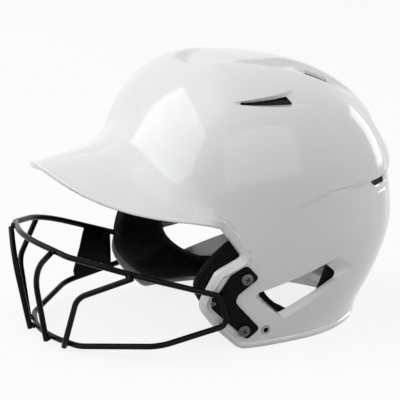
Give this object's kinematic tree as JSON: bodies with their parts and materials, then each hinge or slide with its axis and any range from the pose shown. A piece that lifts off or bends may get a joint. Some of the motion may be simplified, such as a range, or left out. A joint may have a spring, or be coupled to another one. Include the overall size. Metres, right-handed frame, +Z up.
{
  "type": "batting helmet",
  "caption": "Hard-shell batting helmet with a bill, ear flaps with ear openings, padded lining and a bolted wire face guard.",
  "frame": {"origin": "middle of the whole helmet, guard included, at the level of its lower rim", "axes": "+X to the wearer's left, +Y from the face towards the back of the head, +Z up"},
  "size_m": [0.2038, 0.3028, 0.2037],
  "materials": {
    "shell": "gloss",
    "foam": "matte",
    "pad_fabric": "matte",
    "wire": "gloss",
    "screw": "satin",
    "insert": "satin"
  },
  "bodies": {
    "root": {"outer_shell": "shell", "front_liner": "foam", "crown_liner": "foam", "rear_liner": "foam", "left_side_liner": "foam", "right_side_liner": "foam", "brow_pad": "pad_fabric", "crown_pad": "pad_fabric", "nape_pad": "pad_fabric", "left_temple_pad": "pad_fabric", "right_temple_pad": "pad_fabric", "left_ear_pad": "pad_fabric", "right_ear_pad": "pad_fabric", "mask_upper_ring": "wire", "mask_lower_ring": "wire", "mask_bar_inner_left": "wire", "mask_bar_inner_right": "wire", "mask_bar_outer_left": "wire", "mask_bar_outer_right": "wire", "left_mask_plate": "wire", "right_mask_plate": "wire", "label_plate": "wire", "mask_screws": "screw", "mask_tee_nuts": "screw", "plate_rivets": "wire", "left_strap_insert": "insert", "right_strap_insert": "insert"}
  },
  "joints": []
}
